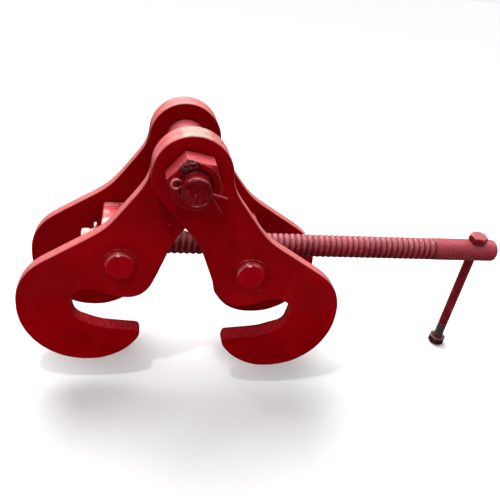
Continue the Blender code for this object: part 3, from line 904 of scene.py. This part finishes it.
# Skin of paint lapping over the plate's bore: distance before LAP_PLACE, radius over END_R
LAP = [(0.62, 0.08), (0.36, 0.35), (0.26, 0.7), (0.32, 1.1), (0.42, 1.5), (0.45, 1.9),
       (0.38, 2.4), (0.22, 2.8), (0.06, 3.1), (0.03, 3.0)]
# Block's broken edge: distance in from the end, inset of flats, inset of corners
BLOCK_EDGE = [(0.0, 1.0, 1.3), (0.3, 0.3, 0.4), (1.0, 0.0, 0.0)]


def trunnion(node, side, bore_r):
    """Square block between a jaw's plates, with a journal through each plate."""
    journal_front, journal_rear = span(node, Y)
    front = span(f"{side}_jaw_front_plate", Y)[1] + GAP
    rear = span(f"{side}_jaw_rear_plate", Y)[0] - GAP
    centre_x = middle(node, X)
    corner_r = BLOCK / 2 * math.sqrt(2) - 1.25

    def square(inset, corner_inset):
        return polygon_radius(4, BLOCK / 2 - inset, corner_r - corner_inset)

    # stations of one journal, by distance from its end
    journal = [(0.0, 2.0), (0.05, END_R - 6.0), (0.18, END_R - DOME_EDGE - 0.9)]
    journal += [(0.25 + (DOME_EDGE - 0.4) / DOME_EDGE * along, END_R - inset)
                for along, inset in quarter_round(DOME_EDGE, 8)[1:8]]
    journal += [(LAP_PLACE - before, END_R + over) for before, over in LAP]
    journal += [(LAP_PLACE - 0.03, JOURNAL_R), (LAP_PLACE + 0.8, JOURNAL_R)]

    stations = [(journal_front + along, r) for along, r in journal]
    stations += [(front - 0.35, JOURNAL_R), (front, JOURNAL_R - 0.15)]
    stations += [(front + along, square(*insets)) for along, *insets in BLOCK_EDGE]
    stations += [(front + (rear - front) * share, square(0.0, 0.0))
                 for share in (0.25, 0.5, 0.75)]
    stations += [(rear - along, square(*insets)) for along, *insets in reversed(BLOCK_EDGE)]
    stations += [(rear, JOURNAL_R - 0.15), (rear + 0.35, JOURNAL_R)]
    stations += [(journal_rear - along, r) for along, r in reversed(journal)]
    bm = turned(stations, Y, segments=144, centre=(centre_x, SPINDLE_Z))
    return add_piece(node, bm, f"{side}_trunnion", sharp=30.0, holes=[
        (f"cut_{node}_body", bore_r, 80, (centre_x, MID_Y, SPINDLE_Z), (1, 0, 0), 72)])


RIGHT_FRONT, RIGHT_FRONT_INNER = span("right_jaw_front_plate", Y)
# The jaws are stepped in depth, the right one forward and the left one back of MID_Y
HALF_STEP = (span("left_jaw_front_plate", Y)[0] - RIGHT_FRONT) / 2
PROUD = MID_Y - HALF_STEP - RIGHT_FRONT + 0.45    # from a jaw's mid-depth to just past it


def between_plates(tree):
    """Chalk and painted top light lie on the block between the plates; the proud journals are
    left bare of them.
    """
    return abs(tree.place()[Y] - MID_Y * MM).ramp(0.045, 0.046, to=(1.0, 0.16))


def proud_face(tree, up):
    """The journal ends that stand out of the plates."""
    x, y, _ = tree.place()
    jaw_middle = MID_Y * MM - x.math("SIGN") * (HALF_STEP * MM)
    return abs(y - jaw_middle).ramp(PROUD * MM, (PROUD + 0.5) * MM)


def from_journal(x):
    """How far x lies to the right of the journal on its own side."""
    return x - x.math("SIGN") * (TRUNNION_X * MM)


def shoulder_glint(tree, up):
    """Painted highlight: small glint at the top of each journal's shoulder."""
    x, _, z = tree.place()
    across = from_journal(x) + 1.6 * MM
    above = z - (SPINDLE_Z + JOURNAL_R - 3.6) * MM
    distance = (across * (across * 0.35) + above * above).math("SQRT")
    distance = distance + tree.noise(420.0, detail=2.0) * (0.9 * MM)
    return distance.ease(1.65 * MM, 1.05 * MM) * proud_face(tree, up)


def shoulder_highlight(tree, up):
    """Painted highlight: bright band on the upper shoulder of the journal ends."""
    x, _, z = tree.place()
    above = z - SPINDLE_Z * MM
    radius = hypotenuse(abs(x) - TRUNNION_X * MM, above)
    ragged = radius + tree.noise(150.0, detail=2.0) * (1.1 * MM)
    band = (ragged.ease((JOURNAL_R - 3.3) * MM, (JOURNAL_R - 2.7) * MM)
            * ragged.ease((JOURNAL_R - 1.2) * MM, (JOURNAL_R - 1.8) * MM))
    tilted = above * 0.92 - from_journal(x) * 0.39
    band = band * (tilted / radius).ease(0.30, 0.92)
    band = band * proud_face(tree, up)
    broken = tree.noise(210.0, rough=0.6, shift=(0.4, 0, 0.2))
    return band * broken.ease(0.34, 0.56, to=(0.30, 1.0))


block_enamel = enamel(
    "block_enamel_crimson", haze=(0.6, 0.05, 0.07), haze_amount=0.25,
    dust_and_toplight=(0.80, 0.085, 0.10), dust_and_light_zone=between_plates, rough=0.12, bump=0.8,
    pale_slope=(0.05, 0.45), face_gloss=0.08, gloss=1.0,
    patches=(
        (proud_face, (0.44, 0.0008, 0.008), 0.85),
        (shoulder_highlight, (0.80, 0.20, 0.25), 0.80),
        (shoulder_glint, (1.0, 0.72, 0.74), 0.95),
        # painted highlight on the pale top of the left block, then painted top light on both
        # tops behind the right front plate
        (ragged_box(x=(-TRUNNION_X - 20, -TRUNNION_X - 1), y=(None, MID_Y + 9),
                    z=(BLOCK_TOP - 2, None), soft=4.0, scale=110.0, grain=(0.28, 0.46)),
         (0.95, 0.78, 0.70), 0.95),
        (ragged_box(y=(RIGHT_FRONT_INNER, None), z=(BLOCK_TOP - 2, None), scale=70.0,
                    grain=(0.46, 0.62)), (0.88, 0.34, 0.34), 0.7),
    ))
put(trunnion("right_trunnion_nut", "right", SPINDLE_R + 0.25), block_enamel)
put(trunnion("left_trunnion_block", "left", STUB_R + 0.25), block_enamel)

# ---- spindle ---------------------------------------------------------------------
PITCH = 6.0
DEPTH = 1.3
THREAD_LEFT, THREAD_RIGHT = -TRUNNION_X + BLOCK / 2 + 0.3, 261.0
RUN_OUT = THREAD_RIGHT + 2.3   # where the plain right end begins
END_CHAMFER = 3.4
BAR_TILT = math.radians(6.25)  # the bar's foot leans to the rear
BAR_DOWN = Vector((0, math.sin(BAR_TILT), -math.cos(BAR_TILT)))
BAR_X = middle("tommy_bar", X)
BAR_HOLE_R = 5.25


def thread_depth(phase):
    """Share of full depth at a place counted in pitches: rounded crest, V flanks."""
    rootness = 1.0 - abs((phase % 1.0) - 0.5) * 2    # 0 at the crest, 1 at the root
    return min(1.0, 0.72 * rootness ** 2.1 + 0.34 * max(0.0, (rootness - 0.45) / 0.55) ** 1.3)


def spindle():
    """Plain grooved stub at the left, long thread, plain right end with a hole for the bar."""
    stations = [(SPINDLE_LEFT + 0.2, 3.0), (SPINDLE_LEFT + 0.15, STUB_R - 3.0),
                (SPINDLE_LEFT, STUB_R - 2.3)]
    stations += [(SPINDLE_LEFT + along, STUB_R - inset)
                 for along, inset in quarter_round(1.8, 5)[1:]]
    groove = [(6.9, 0.0), (7.6, 0.35), (8.3, 0.9), (9.0, 0.35), (9.7, 0.0), (16.0, 0.0)]
    stations += [(SPINDLE_LEFT + along, STUB_R - inset) for along, inset in groove]
    stations += [(THREAD_LEFT - 2.0, STUB_R), (THREAD_LEFT - 0.15, STUB_R),
                 (THREAD_LEFT, SPINDLE_R - 0.6)]
    x = THREAD_LEFT + 0.3
    while x < THREAD_RIGHT + 1.5:
        def radius(angle, x=x):
            fade = (min(1.0, max(0.0, (x - THREAD_LEFT) / 3.0))
                    * min(1.0, max(0.0, (THREAD_RIGHT + 0.8 - x) / 2.6)))
            phase = (x - PITCH * (math.pi - angle) / (2 * math.pi)) / PITCH
            uneven = noise.noise(
                Vector((x * 0.35, math.cos(angle) * 1.5, math.sin(angle) * 1.5)))
            return (SPINDLE_R - DEPTH * fade * thread_depth(phase)
                    - (0.05 + 0.10 * (0.5 + 0.5 * uneven)))
        stations.append((x, radius))
        x += PITCH / 16
    stations += [(THREAD_RIGHT + 1.7, SPINDLE_R - 0.55), (RUN_OUT, SPINDLE_R - 0.12)]
    stations += [(RUN_OUT + (SPINDLE_RIGHT - 4.0 - RUN_OUT) * share, SPINDLE_R - 0.02)
                 for share in np.linspace(0.05, 0.96, 14)]
    stations += [(SPINDLE_RIGHT - before, SPINDLE_R - inset * 0.9)
                 for inset, before in quarter_round(END_CHAMFER, 5)]
    stations += [(SPINDLE_RIGHT, SPINDLE_R - 4.4), (SPINDLE_RIGHT - 0.1, 2.5)]
    bm = turned(stations, X, segments=56, centre=(MID_Y, SPINDLE_Z))
    return add_piece("spindle", bm, "spindle_group", sharp=55.0, weighted=False, holes=[
        ("cut_bar_hole", BAR_HOLE_R, 60, (BAR_X, MID_Y, SPINDLE_Z), BAR_DOWN, 48),
        ("cut_spin_pin", PIN_HOLE_R, 60, (SPINDLE_PIN_X, MID_Y, SPINDLE_Z), (0, 0, 1), 32)])


def spindle_enamel():
    """Pink enamel: worn crests with painted top light, darker roots, painted shade underneath,
    pale stub, brighter plain right end with painted top light.
    """
    base = (0.33, 0.017, 0.029)
    tree = Tree(bpy.data.materials.new("spindle_enamel_pink"))
    x, y, z = tree.place()
    radius = hypotenuse(y - MID_Y * MM, z - SPINDLE_Z * MM)
    root = radius.ease((SPINDLE_R - DEPTH * 0.30) * MM, (SPINDLE_R - DEPTH * 0.78) * MM)
    on_thread = (x.ramp((THREAD_LEFT - 0.5) * MM, (THREAD_LEFT + 0.5) * MM)
                 * x.ramp((THREAD_RIGHT + 2.2) * MM, (THREAD_RIGHT + 1.4) * MM))
    drift = tree.noise(26.0, detail=4.0, rough=0.6)
    mottle = tree.noise(120.0, detail=5.0, rough=0.65)
    fine = tree.noise(900.0, rough=0.6)
    tree.colour = drift.ease(0.35, 0.7).mix(tuple(part * 0.66 for part in base), base)
    tree.coat(mottle.ease(0.45, 0.75, to=(0.0, 0.35)), (0.42, 0.05, 0.075))
    # chalk in streaks on top with painted top light, then painted shade along the very top
    up = tree.split(tree.normal)[Z]
    topside_chalk_light = up.ease(0.10, 0.98)
    streak = tree.noise(210.0, detail=4.0, rough=0.7, stretch=(0.25, 1, 1))
    tree.coat(topside_chalk_light * streak.ramp(0.35, 0.66, to=(0.30, 0.66)), (0.62, 0.170, 0.195))
    tree.coat(up.ease(0.66, 1.0, to=(0.0, 0.46)), (0.34, 0.085, 0.10))
    # light specks
    specks = tree.noise(1300.0, detail=2.0, rough=0.6).ease(0.60, 0.68, to=(0.0, 0.5))
    tree.coat(specks * up.ramp(-0.1, 0.5), (0.85, 0.45, 0.45))
    # painted shade underneath and in narrow places
    tree.coat(up.ease(0.15, -0.75, to=(0.0, 0.80)), (0.07, 0.006, 0.008))
    tree.coat(tree.crevice_shade(), (0.06, 0.010, 0.010))

    def stretches():
        """Slow change along the thread."""
        return tree.noise(17.0, stretch=(1, 0.3, 0.3), shift=(2.7, 0, 0))

    # darker roots, in stretches and all along the thread's right end
    worn = stretches().ease(0.36, 0.60, to=(0.62, 1.0))
    worn = worn.math("MAXIMUM", x.ease((THREAD_RIGHT - 62.0) * MM, (THREAD_RIGHT - 40.0) * MM))
    dark_roots = root * on_thread * (worn * 0.64)
    tree.coat(dark_roots, (0.060, 0.008, 0.010))
    # brown stain over some stretches
    stain = on_thread * stretches().ease(0.54, 0.68, to=(0.0, 0.40))
    tree.coat(stain * mottle.ramp(0.35, 0.6), (0.11, 0.045, 0.040))
    # worn crests, brightest on the upper ones as painted top light
    crest = radius.ease((SPINDLE_R - DEPTH * 0.16) * MM, (SPINDLE_R - 0.14) * MM) * on_thread
    rubbed = tree.noise(420.0, detail=4.0, rough=0.7).ease(0.42, 0.62, to=(0.05, 0.52))
    tree.coat(crest * rubbed * up.ramp(-0.4, 0.6, to=(0.16, 1.0)), (0.70, 0.27, 0.28))
    # painted glints: highlights on the upper thread
    rightward = tree.split(tree.normal)[X]
    glint = tree.noise(1250.0, detail=2.0, rough=0.6, shift=(5.1, 0, 0))
    glint = glint.ease(0.60, 0.70, to=(0.0, 0.65)) * up.ramp(0.0, 0.6)
    tree.coat(glint * on_thread, (0.86, 0.52, 0.50))
    # painted shade on the flanks facing right
    tree.coat(on_thread * rightward.ease(0.18, 0.55, to=(0.0, 0.40)), (0.055, 0.006, 0.009))
    # dirty ring where the thread runs out
    run_out = (x.ramp((THREAD_RIGHT - 0.6) * MM, (THREAD_RIGHT + 0.4) * MM)
               * x.ramp((THREAD_RIGHT + 2.6) * MM, (THREAD_RIGHT + 1.9) * MM))
    tree.coat(run_out * mottle.ramp(0.3, 0.6, to=(0.35, 0.9)), (0.05, 0.022, 0.020))
    # pale top of the stub's end
    stub = x.ramp(-78.0 * MM, -82.0 * MM) * up.ramp(-0.2, 0.5)
    tree.coat(stub * mottle.ease(0.3, 0.55, to=(0.35, 0.92)), (0.90, 0.68, 0.62))
    # brighter plain end, lighter on top as painted top light, peppered dark and light
    plain = x.ramp((THREAD_RIGHT + 2.0) * MM, (THREAD_RIGHT + 3.0) * MM)
    tree.coat(plain * up.ease(-0.5, 0.6, to=(0.1, 0.55)), (0.46, 0.062, 0.080))
    pepper = tree.noise(1000.0, detail=2.0, rough=0.6, stretch=(0.6, 1, 1), shift=(1.7, 0, 0))
    tree.coat(plain * pepper.ease(0.44, 0.34, to=(0.0, 0.30)), (0.16, 0.008, 0.012))
    tree.coat(plain * pepper.ease(0.60, 0.70, to=(0.0, 0.34)), (0.74, 0.24, 0.22))
    roughness = mottle.ramp(0.3, 0.75, to=(0.28, 0.42)) + dark_roots * 0.25
    tint = up.ease(-0.2, 0.4).mix((1.0, 0.08, 0.12), (1.0, 0.44, 0.48))
    level = up.ease(-0.1, 0.6, to=(0.06, 0.34))
    lumps = mottle + tree.noise(45.0, detail=2.0) * 0.7
    lumpy = tree.bump(lumps, strength=0.35, distance=0.0008)
    textured = tree.bump(fine, strength=0.35, distance=0.0002, normal=lumpy)
    return tree.finish(roughness, tint, level, textured)


put(spindle(), spindle_enamel())

# ---- tommy bar and its nut -------------------------------------------------------
# Built upright along z from the spindle's axis, then tilted into place
BAR_R, BAR_FLATS = 5.0, 17.0
BAR_FOOT = -132.6
BAR_NUT_TOP = -123.8
BAR_NUT_HEIGHT = 8.0
BAR_HEAD = SPINDLE_R + 0.3     # underside of the head
BAR_HEAD_HEIGHT = 6.8
BAR_PITCH, BAR_DEPTH = 1.5, 0.85
BAR_THREAD_TOP = BAR_FOOT + 30.0
BAR_PLACE = (Matrix.Translation(Vector((BAR_X, MID_Y, SPINDLE_Z)))
             @ Vector((0, 0, -1)).rotation_difference(BAR_DOWN).to_matrix().to_4x4())


def tommy_bar():
    """Round bar with a hexagon head on top and a thread at its foot."""
    stations = [(BAR_FOOT, 3.6)]
    z = BAR_FOOT + 0.3
    while z < BAR_THREAD_TOP + 1.0:
        def radius(angle, z=z):
            fade = (min(1.0, max(0.0, (z - BAR_FOOT) / 1.5))
                    * min(1.0, max(0.0, (BAR_THREAD_TOP + 0.6 - z) / 1.6)))
            phase = (z - BAR_PITCH * angle / (2 * math.pi)) / BAR_PITCH
            threaded = BAR_R - 0.06 - BAR_DEPTH * fade * thread_depth(phase)
            return min(threaded, 3.9 + (z - BAR_FOOT) * 0.9)
        stations.append((z, radius))
        z += BAR_PITCH / 10
    plain_foot, plain_top = BAR_THREAD_TOP + 1.4, BAR_HEAD - 1.2
    stations += [(plain_foot + (plain_top - plain_foot) * share, BAR_R - 0.05)
                 for share in (0.0, 0.1, 0.3, 0.5, 0.7, 0.9, 1.0)]
    stations += [(BAR_HEAD - 0.4, BAR_R), (BAR_HEAD, BAR_R + 0.2),
                 (BAR_HEAD + 0.02, BAR_FLATS / 2 - 0.9), (BAR_HEAD + 0.35, BAR_FLATS / 2 - 0.45)]
    head_top = BAR_HEAD + BAR_HEAD_HEIGHT
    stations += hexagon(BAR_HEAD + 0.4, head_top, BAR_FLATS,
                        end_radius=BAR_FLATS / 2 - 0.7, depth=2.2)
    stations.append((head_top, BAR_FLATS / 2 - 1.4))
    bm = turned(stations, Z, segments=72, turn=math.radians(8))
    bmesh.ops.transform(bm, matrix=BAR_PLACE, verts=bm.verts)
    return add_piece("tommy_bar", bm, "tommy_bar_group", sharp=34.0, weighted=False)


def tommy_bar_nut():
    """Hexagon nut coned at both ends."""
    foot = BAR_NUT_TOP - BAR_NUT_HEIGHT
    upper, lower = (hexagon(BAR_NUT_TOP - BAR_NUT_HEIGHT / 2, end, BAR_FLATS,
                            end_radius=BAR_FLATS / 2 - 0.6, depth=1.8)
                    for end in (BAR_NUT_TOP, foot))
    stations = [(BAR_NUT_TOP - 0.6, BAR_R + 0.3), (BAR_NUT_TOP, BAR_R + 1.0)]
    stations += upper[:0:-1] + lower
    stations += [(foot, BAR_R + 1.0), (foot + 0.6, BAR_R + 0.3)]
    bm = turned(stations, Z, segments=120, ends="join", turn=math.radians(20))
    bmesh.ops.transform(bm, matrix=BAR_PLACE, verts=bm.verts)
    return add_piece("tommy_bar_nut", bm, "tommy_bar_group", sharp=26.0)


BARE_TOP = SPINDLE_Z + (BAR_NUT_TOP + 20.0) * math.cos(BAR_TILT)   # dark metal below this
put(tommy_bar(), enamel(
    "bar_enamel_red", base=(0.27, 0.015, 0.023), deep=(0.17, 0.008, 0.013),
    haze=(0.5, 0.09, 0.11), haze_amount=0.4, dust_and_toplight=(0.56, 0.11, 0.13), rough=0.32,
    speckle=0.35, bump=1.2, edge_wear_highlight=1.5,
    patches=(
        (ragged_box(z=(None, BARE_TOP), soft=1.5, scale=300.0, grain=(0.25, 0.45),
                    up_only=False), (0.042, 0.043, 0.037), 0.92),
    )))
put(tommy_bar_nut(), enamel(
    "bar_nut_enamel_red", base=(0.060, 0.018, 0.015), deep=(0.030, 0.010, 0.009),
    haze=(0.16, 0.06, 0.05), haze_amount=0.5, dust_and_toplight=(0.16, 0.07, 0.06), top_dust_and_light=0.35,
    dust_and_light_slope=(0.4, 0.80), rough=0.36, bump=1.3, edge_wear_highlight=1.5, speckle=0.3,
))


# ---- floor and world -------------------------------------------------------------
def add_floor():
    """Pale to the camera, darker in reflections and bounced light."""
    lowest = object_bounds()[0].z
    bm = bmesh.new()
    bmesh.ops.create_grid(bm, x_segments=1, y_segments=1, size=6.0 / MM)
    floor = link_object("floor", to_mesh("floor", bm))
    floor.location = (0, 0, lowest - 0.0005)
    tree = Tree(bpy.data.materials.new("floor_pale"))
    shader = tree.nodes["Principled BSDF"]
    rays = tree.node("LightPath").outputs
    colour = Value(tree, rays["Is Camera Ray"]).mix((0.46, 0.46, 0.465), (0.84, 0.84, 0.845))
    colour = Value(tree, rays["Is Glossy Ray"]).mix(colour, (0.16, 0.16, 0.165))
    tree.feed(shader.inputs["Base Color"], colour)
    tree.feed(shader.inputs["Roughness"], 0.9)
    tree.feed(shader.inputs["Specular IOR Level"], 0.0)
    floor.data.materials.append(tree.owner)


def add_world():
    """Sky that lightens upward, and an even pale backdrop to the camera."""
    world = bpy.data.worlds.new("studio")
    bpy.context.scene.world = world
    tree = Tree(world)
    height = tree.split(tree.add("TexCoord", "Generated"))[Z]
    gradient = tree.node("ValToRGB", {0: height})
    low, high = gradient.color_ramp.elements
    low.position, low.color = 0.05, (0.10, 0.10, 0.105, 1)
    high.position, high.color = 0.85, (0.55, 0.56, 0.58, 1)
    sky = tree.nodes["Background"]
    tree.feed(sky.inputs["Color"], Value(tree, gradient.outputs[0]))
    sky.inputs["Strength"].default_value = 1.0
    backdrop = tree.add("Background", 0, {"Color": (0.90, 0.90, 0.905)})
    seen = tree.add("LightPath", "Is Camera Ray")
    mixed = tree.add("MixShader", 0, {0: seen, 1: Value(tree, sky.outputs[0]), 2: backdrop})
    tree.feed(tree.nodes["World Output"].inputs["Surface"], mixed)


add_floor()
add_world()


# ---- lights (metres) -------------------------------------------------------------
def add_light(name, kind, direction, energy, color, location=(0, 0, 0), **shape):
    data = bpy.data.lights.new(name, kind)
    for key, value in dict(shape, energy=energy, color=color).items():
        setattr(data, key, value)
    obj = link_object(name, data)
    obj.location = location
    obj.rotation_mode = "QUATERNION"
    obj.rotation_quaternion = direction.to_track_quat("-Z", "Y")


LIT_POINT = Vector((0.10, MID_Y * MM, -0.08))
WARM, NEUTRAL = (1.0, 0.99, 0.97), (1.0, 0.99, 0.98)
AREA_LIGHTS = [  # name, place from LIT_POINT, width, height, watts, colour
    ("key", (-0.42, -0.42, 1.10), 0.06, 0.06, 4.5, WARM),
    ("right_softbox", (1.3, 0.35, 0.9), 0.9, 0.9, 8.0, NEUTRAL),
    ("back_softbox", (-0.2, 1.4, 1.2), 1.6, 0.9, 16.0, NEUTRAL),
]
add_light("overhead_soft", "SUN", direction=-Vector((-0.22, 0.62, 1.0)), energy=2.75,
          color=WARM, angle=math.radians(46.0))
for name, offset, across, along, watts, colour in AREA_LIGHTS:
    location = LIT_POINT + Vector(offset)
    add_light(name, "AREA", direction=LIT_POINT - location, energy=watts, color=colour,
              location=location, shape="RECTANGLE", size=across, size_y=along)

# ---- camera ----------------------------------------------------------------------
EYE = Vector((-0.04823, MID_Y * MM - 0.50772, 0.18070))
YAW, PITCH_DOWN, ROLL = (math.radians(angle) for angle in (-12.893, 28.274, -7.628))


def add_camera():
    """Looks down at the clamp from the front and left, rolled a little."""
    data = bpy.data.cameras.new("camera")
    data.sensor_width = 36.0
    data.lens = 42.76584
    data.clip_start = 0.01
    heading = Matrix.Rotation(YAW, 3, "Z")
    forward = heading @ Vector((0, math.cos(PITCH_DOWN), -math.sin(PITCH_DOWN)))
    right = heading @ Vector((1, 0, 0))
    down = forward.cross(right)
    right, down = (right * math.cos(ROLL) + down * math.sin(ROLL),
                   down * math.cos(ROLL) - right * math.sin(ROLL))
    pose = Matrix((right, -down, -forward)).transposed().to_4x4()
    pose.translation = EYE
    camera = link_object("camera", data)
    camera.matrix_world = pose
    bpy.context.scene.camera = camera


add_camera()
view = bpy.context.scene.view_settings
view.view_transform = "Standard"
view.look = "None"
view.exposure = 0.0
